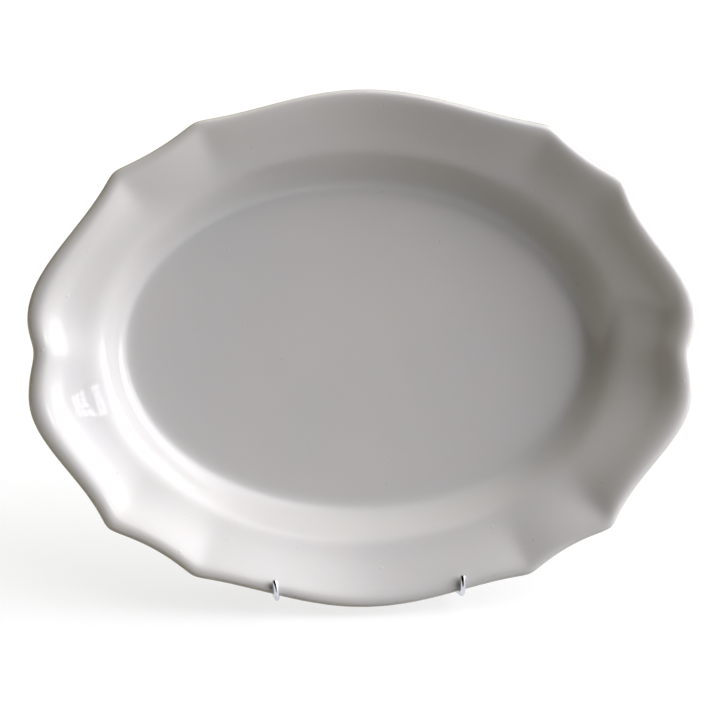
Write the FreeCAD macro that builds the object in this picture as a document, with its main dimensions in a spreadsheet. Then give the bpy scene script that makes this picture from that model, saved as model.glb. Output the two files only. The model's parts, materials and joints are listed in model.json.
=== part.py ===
import FreeCAD, Part
import Sketcher
import math
import os

# A china serving platter held in a folding wire display easel, in millimetres.
#
# Every sub-part is drawn in easel coordinates: X across, Y up the back of the platter, and Z out
# of the plane of its foot ring, towards whoever looks at it. A Placement then leans the whole
# assembly back and stands it on the floor, with +Z up and the platter facing -Y.

SIZES = [
    # name, value, what it is
    ("lean_angle", 18, "lean of the platter back from upright, in degrees"),
    ("floor_half_length", 137.5, "oval edge of the well's flat floor, half its length"),
    ("floor_half_width", 92.5, "the same, half its width"),
    ("verge_half_length", 158, "oval verge where the wall turns into the flange"),
    ("verge_half_width", 116, "the same, half its width"),
    ("wall_run", 22, "mean distance from the floor's edge out to the verge"),
    ("flange_run", 44, "mean distance from the verge out to the rim"),
    ("platter_height", 42, "foot ring to the crest of the rim"),
    ("verge_height", 25, "foot ring to the verge"),
    ("floor_height", 9, "foot ring to the well's floor"),
    ("base_height", 3.5, "foot ring to the base inside it"),
    ("body_wall", 5.2, "thickness of the fired body in the wall and flange"),
    ("corner_spread", 0.8, "how far the corners are rounded at the rim, in degrees"),
    ("crease_spread", 4, "how much further they soften towards the verge, in degrees"),
    ("crease_hold", 0.45, "how far in the creases carry: 1 fades them evenly, 0 not at all"),
    ("roll_reach", 20, "how far in from the rim its rolled lip varies in breadth"),
    ("roll_at_ends", 1.4, "breadth of the lip at the platter's ends, as a share of the mean"),
    ("roll_at_sides", 0.72, "the same along its long sides"),
    ("frame_wire", 3.1, "diameter of the front frame's wire"),
    ("leg_wire", 2.6, "diameter of the rear leg's wire"),
    ("easel_offset", 1.85, "easel's centre line to the right of the platter's"),
    ("upright_half_spacing", 56.5, "centre line of the easel to an upright's"),
    ("frame_gap", 0.05, "clearance of the foot ring from the uprights"),
    ("arch_centre", 62.5, "height of the centre of the arch that joins the uprights"),
    ("arm_drop", 150.37, "platter's centre down to the hook arms"),
    ("hook_reach", 43.95, "foot ring's plane out to the hook tips"),
    ("hook_radius", 4.3, "bend of a hook tip, to the wire's centre line"),
    ("hook_tip_length", 12, "hook arm up to the end of its tip"),
    ("hook_end_round", 0.6, "rounding of a tip's cut end"),
    ("front_foot_radius", 6, "bend of a front foot, to the wire's centre line"),
    ("pivot_height", 40, "platter's centre up to the pivot wire"),
    ("pivot_overhang", 4, "pivot wire past the centre line of each upright"),
    ("lower_wire_drop", 118, "platter's centre down to the lower cross wire"),
    ("eye_clearance", 0.08, "running clearance of the leg's eyes round the pivot wire"),
    ("eye_inset", 3.2, "centre line of an upright in to the outer turn of an eye"),
    ("eye_pitch", 2.7, "step along the pivot wire from one side of an eye to the other"),
    ("tail_angle", 18, "forward slope of a stop tail when the leg is open, in degrees"),
    ("tail_clearance", 0.03, "gap between a stop tail and its upright when the leg is open"),
    ("tail_overhang", 3.6, "stop tail past the centre line of its upright"),
    ("tail_bend_radius", 3.5, "bend of a stop tail, to the wire's centre line"),
    ("leg_splay", 18, "rear leg from upright when open, in degrees"),
    ("rear_foot_radius", 12, "bend at each end of the rear foot, to the wire's centre line"),
]

# The rim, clockwise from the middle of its top edge as the platter is seen: the kind of point, how
# far across and up it lies from the centre, and how hollow the edge is on its way to the next
# point, in degrees at each corner. Crowns are level and lobes are upright where they turn. It is
# a little uneven, as a hand-finished rim is.
RIM = [
    ("crown", 1, 154.5, 2.8),
    ("corner", 113, 135, 10),
    ("corner", 160, 102.5, 15.5),
    ("lobe", 206.3, 19.5, -8),
    ("notch", 200.8, -3, -8),
    ("lobe", 204.5, -28, 12.5),
    ("corner", 153.6, -112.4, 13),
    ("corner", 102, -139.5, 3.5),
    ("crown", 1, -156.8, 1.6),
    ("corner", -104.5, -136, 12),
    ("corner", -155, -107, 9),
    ("lobe", -200.4, -28.5, -8),
    ("notch", -196.2, -2, -8),
    ("lobe", -200.8, 17, 4.5),
    ("corner", -150.8, 104, 8.5),
    ("corner", -102.3, 134, 2.8),
]
RIM_HANDLE = 0.36      # length of a rim curve's handle as a share of its chord, but at a lobe:
LOBE_HANDLE = 0.3
RIM_STEPS = 48         # steps along each rim curve when its radius is read off
TURN_POLES = 240       # control points round each ring of the platter's surface
BROAD_SPREAD = 20      # degrees of softening that leave only the rim's broad oval
FLOOR_SHRINK = 115     # run from the floor's edge to the centre, on the mean section

doc = FreeCAD.newDocument("display_platter")
sheet = doc.addObject("Spreadsheet::Sheet", "Sizes")


def fill_sheet():
    """Write the driving dimensions, one a row: alias, value, meaning."""
    for row, (name, value, meaning) in enumerate(SIZES, start=1):
        sheet.set(f"A{row}", name)
        sheet.set(f"B{row}", str(value))
        sheet.set(f"C{row}", meaning)
        sheet.setAlias(f"B{row}", name)
    doc.recompute()


def size(name):
    """A driving dimension, read from the sheet."""
    return float(sheet.get(name))


# ---------------------------------------------------------------- platter

def turned(vector, degrees):
    """A flat vector turned anticlockwise."""
    angle = math.radians(degrees)
    return FreeCAD.Vector(
        vector.x * math.cos(angle) - vector.y * math.sin(angle),
        vector.x * math.sin(angle) + vector.y * math.cos(angle),
        0,
    )


def rim_heading(kind, point, chord, hollow):
    """Direction of the clockwise rim at one of its points."""
    if kind == "crown":
        return FreeCAD.Vector(math.copysign(1, point.y), 0, 0)
    if kind == "lobe":
        return FreeCAD.Vector(0, -math.copysign(1, point.x), 0)
    return turned(chord.normalize(), hollow)


def rim_handle(kind):
    """Length of a rim curve's handle at one of its points, as a share of its chord."""
    return LOBE_HANDLE if kind == "lobe" else RIM_HANDLE


def rim_points():
    """Points along the rim: a cubic curve from each listed point to the next."""
    points = []
    for index, (kind, x, y, hollow) in enumerate(RIM):
        next_kind, next_x, next_y, _ = RIM[(index + 1) % len(RIM)]
        start = FreeCAD.Vector(x, y, 0)
        end = FreeCAD.Vector(next_x, next_y, 0)
        chord = end - start
        leaving = rim_heading(kind, start, FreeCAD.Vector(chord), -hollow)
        arriving = rim_heading(next_kind, end, FreeCAD.Vector(chord), hollow)
        first = start + leaving * rim_handle(kind) * chord.Length
        second = end - arriving * rim_handle(next_kind) * chord.Length
        curve = Part.BezierCurve()
        curve.setPoles([start, first, second, end])
        points += [curve.value(step / RIM_STEPS) for step in range(RIM_STEPS)]
    return points


def rim_radii():
    """Distance of the rim from the centre, at each of TURN_POLES even angles."""
    polar = sorted((math.atan2(p.y, p.x) % (2 * math.pi), p.Length) for p in rim_points())
    first_angle, first_radius = polar[0]
    last_angle, last_radius = polar[-1]
    polar = [(last_angle - 2 * math.pi, last_radius)] + polar + [(first_angle + 2 * math.pi, first_radius)]
    radii = []
    place = 0
    for turn in range(TURN_POLES):
        angle = 2 * math.pi * turn / TURN_POLES
        while polar[place + 1][0] < angle:
            place += 1
        (angle_1, radius_1), (angle_2, radius_2) = polar[place], polar[place + 1]
        share = (angle - angle_1) / (angle_2 - angle_1)
        radii.append(radius_1 + share * (radius_2 - radius_1))
    return radii


def softened(radii, spread_degrees):
    """The same closed outline with its corners spread over an angle."""
    spread = spread_degrees * TURN_POLES / 360
    reach = math.ceil(3 * spread)
    if reach == 0:
        return list(radii)
    weights = [math.exp(-0.5 * (step / spread) ** 2) for step in range(-reach, reach + 1)]
    total = sum(weights)
    return [
        sum(w * radii[(turn + step - reach) % TURN_POLES] for step, w in enumerate(weights)) / total
        for turn in range(TURN_POLES)
    ]


def verge_turn(x, y):
    """Angle round the verge's oval at which a line square to it runs out through a point."""
    long = size("verge_half_length")
    short = size("verge_half_width")
    turn = math.atan2(y / short, x / long)
    for _ in range(6):
        centre_x = (long ** 2 - short ** 2) * math.cos(turn) ** 3 / long
        centre_y = (short ** 2 - long ** 2) * math.sin(turn) ** 3 / short
        bend = math.hypot(long * math.cos(turn) - centre_x, short * math.sin(turn) - centre_y)
        share = bend / math.hypot(x - centre_x, y - centre_y)
        turn = math.atan2(
            (centre_y + (y - centre_y) * share) / short, (centre_x + (x - centre_x) * share) / long)
    return turn


def platter_section():
    """Control points of the section: mean distance out from the floor's edge, and height.

    They run from the middle of the floor over the wall, flange and rolled rim, then back
    underneath, round the foot ring, to the middle of the base.
    """
    floor = size("floor_height")
    verge = size("verge_height")
    crest = size("platter_height")
    base = size("base_height")
    under = verge - size("body_wall")
    wall = size("wall_run")
    rim = size("wall_run") + size("flange_run")
    return [
        (-60, floor),
        (-30, floor),
        (-6, floor),
        (3, floor),
        (8, floor + 1.2),
        (12.5, floor + 5),
        (wall - 5.5, verge - 7),
        (wall - 1.5, verge - 3),
        (wall + 3.5, verge + 0.8),
        (wall + 10, verge + 3.3),
        (wall + 17, verge + 6.3),
        (rim - 21, verge + 9.3),
        (rim - 16, verge + 12.3),
        (rim - 12, verge + 14.6),
        (rim - 8.5, crest - 0.6),
        (rim - 5.5, crest + 0.3),
        (rim - 2.5, crest + 0.1),
        (rim - 0.2, crest - 1.1),
        (rim + 0.5, crest - 3.4),
        (rim - 0.3, crest - 5.7),
        (rim - 3.2, crest - 6.4),
        (rim - 7, crest - 6.7),
        (rim - 11, crest - 8),
        (rim - 16, under + 11.4),
        (rim - 22, under + 8.3),
        (wall + 15, under + 5),
        (wall + 8.5, under + 2.4),
        (wall + 3.5, under + 0.2),
        (wall - 0.5, under - 2.6),
        (17.5, base + 9.4),
        (13, base + 4.6),
        (8.8, base + 0.9),
        (7.6, base - 1.7),
        (6.6, 0),
        (4.6, 0),
        (2.6, 0),
        (1.6, base - 1.7),
        (0.2, base),
        (-6, base),
        (-30, base),
        (-60, base),
    ]


def lip_distance(distance, angle):
    """A distance out on the section, with the rim's rolled lip broader at the platter's ends."""
    rim = size("wall_run") + size("flange_run")
    reach = size("roll_reach")
    inset = rim - distance
    if not 0 < inset < reach:
        return distance
    sides = size("roll_at_sides")
    breadth = sides + (size("roll_at_ends") - sides) * math.cos(angle) ** 4
    return rim - inset * (1 + (breadth - 1) * (1 - inset / reach))


def platter_ring(distance, height, rim):
    """Control points of one ring: between the floor's oval, the verge's oval and the rim.

    Lines across the flange run square to the verge, so the creases from the rim's corners do too.
    The flange is the rim's broad oval with those creases on top, which fade on their way in.
    """
    wall = size("wall_run")
    flange = size("flange_run")
    inward = min(max((wall + flange - distance) / flange, 0), 1)
    sharp = softened(rim, size("corner_spread") + size("crease_spread") * inward ** 3)
    broad = softened(rim, BROAD_SPREAD)
    ring = []
    for step, (rim_radius, sharp_radius, broad_radius) in enumerate(zip(rim, sharp, broad)):
        angle = 2 * math.pi * step / TURN_POLES
        heading = FreeCAD.Vector(math.cos(angle), math.sin(angle), 0)
        turn = verge_turn(heading.x * rim_radius, heading.y * rim_radius)
        floor = FreeCAD.Vector(
            size("floor_half_length") * math.cos(turn), size("floor_half_width") * math.sin(turn), 0)
        verge = FreeCAD.Vector(
            size("verge_half_length") * math.cos(turn), size("verge_half_width") * math.sin(turn), 0)
        if distance < 0:
            point = floor * (1 + distance / FLOOR_SHRINK)
        elif distance < wall:
            point = floor + (verge - floor) * (distance / wall)
        else:
            outward = (lip_distance(distance, angle) - wall) / flange
            crease = (sharp_radius - broad_radius) * outward ** size("crease_hold")
            point = verge + (heading * broad_radius - verge) * outward + heading * crease
        ring.append(point + FreeCAD.Vector(0, 0, height))
    return ring


def make_platter():
    """The platter: one smooth skin through all its rings, closed by the floor and the base."""
    rim = rim_radii()
    rings = [platter_ring(distance, height, rim) for distance, height in platter_section()]
    poles = [[ring[turn] for ring in rings] for turn in range(TURN_POLES)]
    turns = list(range(TURN_POLES + 1))
    spans = list(range(len(rings) - 2))
    ends = [4] + [1] * (len(spans) - 2) + [4]
    skin = Part.BSplineSurface()
    skin.buildFromPolesMultsKnots(poles, [1] * len(turns), ends, turns, spans, True, False, 3, 3)
    side = skin.toShape()
    flats = [Part.Face(Part.Wire([skin.vIso(v).toShape()])) for v in (spans[0], spans[-1])]
    shell = Part.makeShell([side] + flats)
    shell.sewShape()
    solid = Part.makeSolid(shell)
    if solid.Volume < 0:
        solid.reverse()
    platter = doc.addObject("Part::Feature", "platter")
    platter.Shape = solid
    return platter


# ---------------------------------------------------------------- sketch helpers

def origin_plane(body, role):
    """One of a body's own origin planes."""
    return next(item for item in body.Origin.OriginFeatures if item.Role == role)


def add_sketch(body, name, role, offset=None):
    """A sketch on one of the body's origin planes, moved along its normal by an expression."""
    sketch = body.newObject("Sketcher::SketchObject", name)
    sketch.AttachmentSupport = [(origin_plane(body, role), "")]
    sketch.MapMode = "FlatFace"
    if offset:
        sketch.setExpression("AttachmentOffset.Base.z", offset)
    return sketch


def drive(sketch, expression, kind, *where):
    """A dimension in a sketch, bound to the sheet."""
    value = sketch.evalExpression(expression)
    value = float(getattr(value, "Value", value))
    index = sketch.addConstraint(Sketcher.Constraint(kind, *where, value))
    sketch.setExpression(f"Constraints[{index}]", expression)


def add_circle(sketch, x, y, diameter):
    """A wire's round section, its centre at x, y: pairs of (sign, expression) off the origin."""
    places = [sign * float(sketch.evalExpression(text)) for sign, text in (x, y)]
    centre = FreeCAD.Vector(places[0], places[1], 0)
    circle = sketch.addGeometry(Part.Circle(centre, FreeCAD.Vector(0, 0, 1), 1), False)
    for kind, (sign, text) in (("DistanceX", x), ("DistanceY", y)):
        ends = (-1, 1, circle, 3) if sign > 0 else (circle, 3, -1, 1)
        drive(sketch, text, kind, *ends)
    drive(sketch, diameter, "Diameter", circle)


def arc_between(centre, radius, start_degrees, end_degrees):
    """An arc drawn anticlockwise."""
    circle = Part.Circle(centre, FreeCAD.Vector(0, 0, 1), radius)
    return Part.ArcOfCircle(circle, math.radians(start_degrees), math.radians(end_degrees))


# ---------------------------------------------------------------- front frame

UPRIGHT_DEPTH = "Sizes.frame_wire / 2 + Sizes.frame_gap"
FOOT_TOP = "Sizes.arm_drop - Sizes.front_foot_radius"


def draw_arch(sketch):
    """Both uprights and the arch that joins them, one bent run."""
    half = size("upright_half_spacing")
    bottom = -float(sketch.evalExpression(FOOT_TOP))
    top = size("arch_centre")
    corner = [
        FreeCAD.Vector(x, y, 0)
        for x, y in ((-half, bottom), (-half, top), (half, top), (half, bottom))
    ]
    left = sketch.addGeometry(Part.LineSegment(corner[0], corner[1]), False)
    arch = sketch.addGeometry(arc_between(FreeCAD.Vector(0, top, 0), half, 0, 180), False)
    right = sketch.addGeometry(Part.LineSegment(corner[2], corner[3]), False)
    sketch.addConstraint(Sketcher.Constraint("Tangent", left, 2, arch, 2))
    sketch.addConstraint(Sketcher.Constraint("Tangent", arch, 1, right, 1))
    sketch.addConstraint(Sketcher.Constraint("Vertical", left))
    sketch.addConstraint(Sketcher.Constraint("PointOnObject", arch, 3, -2))
    drive(sketch, "Sizes.upright_half_spacing", "Radius", arch)
    drive(sketch, "Sizes.arch_centre", "DistanceY", -1, 1, arch, 3)
    drive(sketch, FOOT_TOP, "DistanceY", left, 1, -1, 1)
    drive(sketch, FOOT_TOP, "DistanceY", right, 2, -1, 1)


def draw_hook(sketch):
    """From the foot of an upright: the front foot's bend, the arm, the hook's bend and its tip."""
    arm = -size("arm_drop")
    reach = size("hook_reach")
    bend = size("hook_radius")
    foot = size("front_foot_radius")
    depth = -float(sketch.evalExpression(UPRIGHT_DEPTH))
    tip = arm + size("hook_tip_length")
    foot_arc = sketch.addGeometry(
        arc_between(FreeCAD.Vector(arm + foot, depth + foot, 0), foot, 180, 270), False)
    run = sketch.addGeometry(
        Part.LineSegment(FreeCAD.Vector(arm, depth + foot, 0), FreeCAD.Vector(arm, reach - bend, 0)), False)
    hook_arc = sketch.addGeometry(
        arc_between(FreeCAD.Vector(arm + bend, reach - bend, 0), bend, 90, 180), False)
    end = sketch.addGeometry(
        Part.LineSegment(FreeCAD.Vector(arm + bend, reach, 0), FreeCAD.Vector(tip, reach, 0)), False)
    sketch.addConstraint(Sketcher.Constraint("Tangent", foot_arc, 1, run, 1))
    sketch.addConstraint(Sketcher.Constraint("Tangent", run, 2, hook_arc, 2))
    sketch.addConstraint(Sketcher.Constraint("Tangent", hook_arc, 1, end, 1))
    sketch.addConstraint(Sketcher.Constraint("Vertical", run))
    sketch.addConstraint(Sketcher.Constraint("Horizontal", end))
    sketch.addConstraint(Sketcher.Constraint("Vertical", foot_arc, 2, foot_arc, 3))
    drive(sketch, "Sizes.front_foot_radius", "Radius", foot_arc)
    drive(sketch, "Sizes.hook_radius", "Radius", hook_arc)
    drive(sketch, "Sizes.arm_drop", "DistanceX", run, 1, -1, 1)
    drive(sketch, "Sizes.hook_reach", "DistanceY", -1, 1, end, 2)
    drive(sketch, UPRIGHT_DEPTH, "DistanceY", foot_arc, 2, -1, 1)
    drive(sketch, "Sizes.hook_tip_length", "DistanceX", run, 1, end, 2)


def tip_edges(shape):
    """The two round edges at the hook tips' cut ends."""
    end = size("hook_tip_length") - size("arm_drop")
    return [
        f"Edge{number}"
        for number, edge in enumerate(shape.Edges, start=1)
        if abs(edge.BoundBox.YMin - end) < 0.01 and abs(edge.BoundBox.YMax - end) < 0.01
    ]


def make_front_frame():
    """One wire: hook, front foot and upright on each side, joined by an arch at the top."""
    body = doc.addObject("PartDesign::Body", "front_frame")
    arch_path = add_sketch(body, "arch_path", "XY_Plane", f"-({UPRIGHT_DEPTH})")
    draw_arch(arch_path)
    hook_path = add_sketch(body, "hook_path", "YZ_Plane", "-Sizes.upright_half_spacing")
    draw_hook(hook_path)
    section = add_sketch(body, "wire_section", "XZ_Plane", FOOT_TOP)
    add_circle(section, (-1, "Sizes.upright_half_spacing"), (-1, UPRIGHT_DEPTH), "Sizes.frame_wire")
    doc.recompute()
    arch = body.newObject("PartDesign::AdditivePipe", "arch_wire")
    arch.Profile = section
    arch.Spine = (arch_path, [])
    hook = body.newObject("PartDesign::AdditivePipe", "left_hook")
    hook.Profile = section
    hook.Spine = (hook_path, [])
    doc.recompute()
    mirrored = body.newObject("PartDesign::Mirrored", "right_hook")
    mirrored.Originals = [hook]
    mirrored.MirrorPlane = (origin_plane(body, "YZ_Plane"), [""])
    body.Tip = mirrored
    doc.recompute()
    rounding = body.newObject("PartDesign::Fillet", "tip_rounding")
    rounding.Base = (mirrored, tip_edges(mirrored.Shape))
    rounding.setExpression("Radius", "Sizes.hook_end_round")
    body.Tip = rounding
    return body


# ---------------------------------------------------------------- cross wires

CROSS_WIRE_DEPTH = f"{UPRIGHT_DEPTH} + Sizes.frame_wire"


def make_cross_wire(name, up, length):
    """A straight wire welded across the backs of the uprights."""
    body = doc.addObject("PartDesign::Body", name)
    section = add_sketch(body, f"{name}_section", "YZ_Plane")
    add_circle(section, up, (-1, CROSS_WIRE_DEPTH), "Sizes.frame_wire")
    wire = body.newObject("PartDesign::Pad", f"{name}_length")
    wire.Profile = section
    wire.setExpression("Length", length)
    wire.Midplane = True
    return body


# ---------------------------------------------------------------- rear leg

def floor_drop():
    """Depth of the floor below the platter's centre, measured upright: the front feet's lowest."""
    lean = math.radians(size("lean_angle"))
    foot = size("front_foot_radius")
    up = foot - size("arm_drop")
    out = foot - size("frame_wire") / 2 - size("frame_gap")
    return foot + size("frame_wire") / 2 - up * math.cos(lean) - out * math.sin(lean)


def rounded_corner(before, corner, after, radius):
    """The arc that rounds a corner, and where it starts and ends."""
    back = (before - corner).normalize()
    ahead = (after - corner).normalize()
    half_angle = back.getAngle(ahead) / 2
    start = corner + back * (radius / math.tan(half_angle))
    end = corner + ahead * (radius / math.tan(half_angle))
    bisector = (back + ahead).normalize()
    middle = corner + bisector * (radius / math.sin(half_angle) - radius)
    return start, Part.Arc(start, middle, end), end


def leg_side(side):
    """One side of the leg's path, from the stop tail's end to the middle of the rear foot."""
    lean = math.radians(size("lean_angle"))
    splay = math.radians(size("leg_splay"))
    tail = math.radians(size("tail_angle"))
    wire = size("leg_wire") / 2
    upright = size("frame_wire") / 2
    depth = upright + size("frame_gap")
    pivot_up = size("pivot_height")
    pivot_out = -depth - size("frame_wire")
    eye = upright + size("eye_clearance") + wire
    outer = side * (size("upright_half_spacing") - size("eye_inset"))
    inner = outer - side * size("eye_pitch")

    def on_eye(across, degrees, radius=eye):
        """A point of the eye, its angle measured from straight up towards the back."""
        angle = math.radians(degrees)
        return FreeCAD.Vector(
            across, pivot_up + radius * math.cos(angle), pivot_out - radius * math.sin(angle))

    tail_degrees = 90 - size("tail_angle")
    leg_degrees = 90 - size("lean_angle") - size("leg_splay")
    entry = on_eye(outer, tail_degrees)
    bottom = on_eye(outer, 180)
    top = on_eye(inner, 0)
    leaving = on_eye(inner, leg_degrees)
    front = (bottom + top) / 2 + FreeCAD.Vector(0, 0, (bottom - top).Length / 2)

    stop_out = -depth - upright - size("tail_clearance") - wire
    climb = (stop_out - entry.z) / math.sin(tail)
    corner = entry + FreeCAD.Vector(0, climb * math.cos(tail), climb * math.sin(tail))
    tail_end = FreeCAD.Vector(
        side * (size("upright_half_spacing") + size("tail_overhang")), corner.y, corner.z)
    bend_start, bend, bend_end = rounded_corner(tail_end, corner, entry, size("tail_bend_radius"))

    height = leaving.y * math.cos(lean) + leaving.z * math.sin(lean) + floor_drop() - wire
    reach = height / math.cos(splay)
    foot = leaving - FreeCAD.Vector(0, math.cos(lean + splay), math.sin(lean + splay)) * reach
    middle = FreeCAD.Vector(0, foot.y, foot.z)
    foot_start, foot_bend, foot_end = rounded_corner(leaving, foot, middle, size("rear_foot_radius"))
    return [
        Part.LineSegment(tail_end, bend_start),
        bend,
        Part.LineSegment(bend_end, entry),
        Part.Arc(entry, on_eye(outer, (tail_degrees + 180) / 2), bottom),
        Part.Arc(bottom, front, top),
        Part.Arc(top, on_eye(inner, leg_degrees / 2), leaving),
        Part.LineSegment(leaving, foot_start),
        foot_bend,
        Part.LineSegment(foot_end, middle),
    ]


def make_rear_leg():
    """One wire: a stop tail, an eye and a leg on each side, and the rear foot between them."""
    right = [curve.toShape() for curve in leg_side(1)]
    left = [curve.toShape() for curve in leg_side(-1)]
    path = doc.addObject("Part::Feature", "rear_leg_path")
    path.Shape = Part.Wire(right + left[::-1])
    section = doc.addObject("Part::Circle", "rear_leg_section")
    section.setExpression("Radius", "Sizes.leg_wire / 2")
    start = right[0].valueAt(right[0].FirstParameter)
    section.Placement = FreeCAD.Placement(start, FreeCAD.Rotation(FreeCAD.Vector(0, 1, 0), -90))
    leg = doc.addObject("Part::Sweep", "rear_leg")
    leg.Sections = [section]
    leg.Spine = (path, [f"Edge{number + 1}" for number in range(len(path.Shape.Edges))])
    leg.Solid = True
    leg.Frenet = False
    return leg


# ---------------------------------------------------------------- assembly

def stand_up(parts, across):
    """Lean every sub-part back, then put the middle of the underside of them all at the origin."""
    lean = FreeCAD.Rotation(FreeCAD.Vector(1, 0, 0), 90 - size("lean_angle"))
    for part in parts:
        part.Placement = FreeCAD.Placement(lean.multVec(across.get(part.Label, FreeCAD.Vector())), lean)
    doc.recompute()
    box = FreeCAD.BoundBox()
    for part in parts:
        box.add(part.Shape.optimalBoundingBox(False, False))
    shift = FreeCAD.Vector(-box.Center.x, -box.Center.y, -box.ZMin)
    for part in parts:
        part.Placement = FreeCAD.Placement(part.Placement.Base + shift, part.Placement.Rotation)
    doc.recompute()


def check(parts):
    """Stop if anything in the document failed."""
    for item in doc.Objects:
        if "Invalid" in item.State or "Error" in item.State:
            raise RuntimeError(f"{item.Label}: {item.State}")
    for part in parts:
        if part.Shape.isNull() or not part.Shape.isValid() or len(part.Shape.Solids) != 1:
            raise RuntimeError(f"{part.Label}: not one valid solid")


def main():
    fill_sheet()
    platter = make_platter()
    easel = [
        make_front_frame(),
        make_cross_wire(
            "pivot_cross_wire", (1, "Sizes.pivot_height"),
            "2 * (Sizes.upright_half_spacing + Sizes.pivot_overhang)"),
        make_cross_wire(
            "lower_cross_wire", (-1, "Sizes.lower_wire_drop"),
            "2 * Sizes.upright_half_spacing + Sizes.frame_wire"),
        make_rear_leg(),
    ]
    doc.recompute()
    parts = [platter] + easel
    offset = FreeCAD.Vector(size("easel_offset"), 0, 0)
    stand_up(parts, {part.Label: offset for part in easel})
    check(parts)
    os.makedirs("parts", exist_ok=True)
    for part in parts:
        part.Shape.exportStep(f"parts/{part.Label}.step")
        print(part.Label, round(part.Shape.Volume), "mm3")


main()
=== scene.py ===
import json
import math

import bpy
import numpy as np
from mathutils import Matrix, Vector


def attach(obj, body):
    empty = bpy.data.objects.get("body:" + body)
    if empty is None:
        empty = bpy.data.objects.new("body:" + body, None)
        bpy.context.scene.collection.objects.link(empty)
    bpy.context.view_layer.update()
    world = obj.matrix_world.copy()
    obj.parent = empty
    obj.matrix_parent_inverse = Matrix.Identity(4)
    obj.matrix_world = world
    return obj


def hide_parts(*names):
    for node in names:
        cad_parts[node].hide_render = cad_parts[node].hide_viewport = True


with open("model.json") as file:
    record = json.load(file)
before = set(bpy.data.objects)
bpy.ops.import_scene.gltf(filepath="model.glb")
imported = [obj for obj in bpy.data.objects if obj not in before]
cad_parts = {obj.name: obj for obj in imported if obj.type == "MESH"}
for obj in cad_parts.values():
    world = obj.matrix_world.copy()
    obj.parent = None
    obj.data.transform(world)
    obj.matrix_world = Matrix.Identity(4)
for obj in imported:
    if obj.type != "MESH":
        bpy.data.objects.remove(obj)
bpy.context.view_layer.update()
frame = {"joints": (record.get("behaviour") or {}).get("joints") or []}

# A glazed china platter on a chromed wire display easel.
#
# Shapes are worked out in easel millimetres, as the design is: across, up the back of the platter,
# and out of the plane of its foot ring. placed() turns them into metres in the row frame.

MM = 0.001

# ---------------------------------------------------------------- driving sizes, in millimetres

FLOOR_OVAL = (137.5, 92.5)      # half axes of the edge of the well's floor
VERGE_OVAL = (158, 116)         # half axes of the verge, where the wall turns into the flange
WALL_RUN = 22                   # out from the floor's edge to the verge, on the mean section
FLANGE_RUN = 44                 # out from the verge to the rim
RIM_RUN = WALL_RUN + FLANGE_RUN
FLOOR_RUN = 115                 # floor's centre out to its edge, on the mean section
CREST = 42                      # heights above the foot ring: the top of the rim
VERGE = 25
FLOOR = 9                       # the well's floor
BASE = 3.5                      # the back of the floor, inside the foot ring
UNDER = VERGE - 5.2             # the back of the verge
BROAD_SPREAD = 20               # degrees of softening that leave only the rim's broad oval
CREASE_SPREAD = 4               # degrees that the rim's corners soften by towards the verge
CREASE_HOLD = 0.45              # how far in the creases carry: 1 fades them evenly, 0 not at all

FRAME_WIRE = 3.1                # thickness of the frame's and the cross wires' wire
LEG_WIRE = 2.6
FRAME_GAP = 0.05                # from the foot ring back to the uprights
EASEL_OFFSET = 1.85             # how far right of the platter's middle the easel stands
HALF_SPACING = 56.5             # from the easel's middle to each upright
ARCH_CENTRE = 62.5              # height of the arch's centre above the platter's
ARM_DROP = 150.37               # depth of the arms below the platter's centre
HOOK_REACH = 43.95              # height of the hooks out of the foot ring's plane
HOOK_RADIUS = 4.3
HOOK_TIP = 12                   # from the arm's middle to the hook's tip
LEFT_TIP_ASKEW = 1.8            # how far use has bent the left hook's tip sideways
FOOT_RADIUS = 6
PIVOT_HEIGHT = 40               # the pivot wire above the platter's centre
PIVOT_OVERHANG = 4              # the pivot wire's end beyond each upright's middle
LOWER_WIRE_DROP = 118           # the lower cross wire below the platter's centre
EYE_CLEARANCE = 0.08            # between the leg's eyes and the pivot wire
EYE_INSET = 3.2                 # from an upright's middle in to the eye's outer turn
EYE_PITCH = 2.7                 # from the eye's outer turn to its inner one
TAIL_ANGLE = 18                 # degrees between a stop tail and the uprights
TAIL_CLEARANCE = 0.03           # between a stop tail and its upright
TAIL_OVERHANG = 3.6             # a stop tail's end beyond its upright's middle
TAIL_RADIUS = 3.5
LEG_SPLAY = 18                  # degrees that the leg stands back from upright
REAR_FOOT_RADIUS = 12

UPRIGHT_DEPTH = FRAME_WIRE / 2 + FRAME_GAP
PIVOT_DEPTH = UPRIGHT_DEPTH + FRAME_WIRE

# The rim, clockwise from the middle of its top edge: kind of point, across, up, and how hollow the
# edge is on its way to the next point, in degrees.
RIM = [
    ("crown", 1, 154.5, 2.8),
    ("corner", 113, 135, 10),
    ("corner", 160, 102.5, 15.5),
    ("lobe", 206.3, 19.5, -8),
    ("notch", 200.8, -3, -8),
    ("lobe", 204.5, -28, 12.5),
    ("corner", 153.6, -112.4, 13),
    ("corner", 102, -139.5, 3.5),
    ("crown", 1, -156.8, 1.6),
    ("corner", -104.5, -136, 12),
    ("corner", -155, -107, 9),
    ("lobe", -200.4, -28.5, -8),
    ("notch", -196.2, -2, -8),
    ("lobe", -200.8, 17, 4.5),
    ("corner", -150.8, 104, 8.5),
    ("corner", -102.3, 134, 2.8),
]
RIM_HANDLE = 0.36               # length of a rim curve's handle, as a share of its chord
LOBE_HANDLE = 0.3               # the same at a lobe
CORNER_SPREAD = 0.8             # degrees that the corners soften by at the rim itself
ROLL_REACH = 20                 # how far in from the rim its rolled lip varies in breadth
ROLL_AT_ENDS = 1.4              # breadth of the lip at the platter's ends, as a share of the mean
ROLL_AT_SIDES = 0.72
RIM_STEPS = 48                  # steps along each rim curve when its radius is read off
TURN_POLES = 240                # control points round each ring of the platter's surface

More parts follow.
